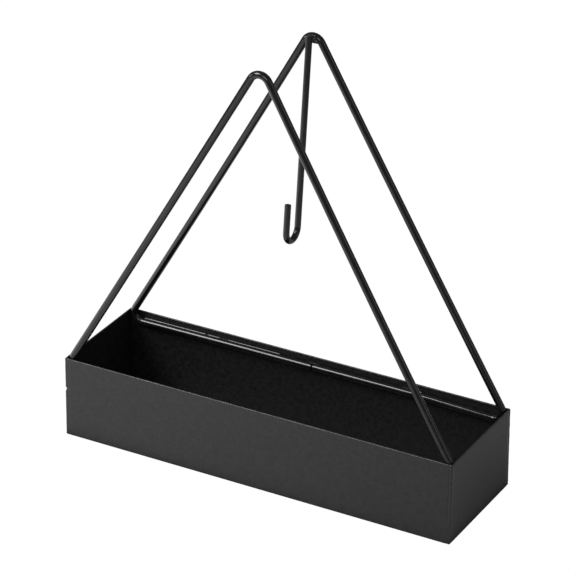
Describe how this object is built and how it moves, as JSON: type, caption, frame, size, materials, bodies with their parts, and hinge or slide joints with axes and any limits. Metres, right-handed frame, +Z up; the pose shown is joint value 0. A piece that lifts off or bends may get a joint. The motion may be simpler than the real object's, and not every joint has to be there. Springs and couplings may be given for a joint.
{
  "type": "mosquito coil holder",
  "caption": "Long shallow sheet-steel ash tray with a triangular wire loop on each long wall and a J-hook hanging from the rear loop's peak to hold a mosquito coil over the tray.",
  "frame": {"origin": "centre of the tray's underside, on the surface it stands on", "axes": "+X along the tray's length to the right, +Y from the front loop to the rear loop that carries the hook, +Z up"},
  "size_m": [0.2, 0.06, 0.204],
  "materials": {
    "sheet_coat": "black satin powder coat with fine orange peel on folded steel sheet",
    "seam_coat": "the same black powder coat over ground corner welds, slightly lighter and less even",
    "wire_coat": "black powder coat, glossier on the drawn steel wire",
    "weld_coat": "black powder coat over lumpy, pitted weld metal"
  },
  "bodies": {
    "root": {"tray_pan": "sheet_coat", "corner_weld_front_left": "seam_coat", "corner_weld_front_right": "seam_coat", "corner_weld_rear_left": "seam_coat", "corner_weld_rear_right": "seam_coat", "front_loop": "wire_coat", "front_spot_weld_left": "weld_coat", "front_spot_weld_middle": "weld_coat", "front_spot_weld_right": "weld_coat", "rear_loop": "wire_coat", "rear_spot_weld_left": "weld_coat", "rear_spot_weld_middle": "weld_coat", "rear_spot_weld_right": "weld_coat", "hanging_hook": "wire_coat", "hook_weld_right": "weld_coat", "hook_weld_left": "weld_coat"}
  },
  "joints": []
}
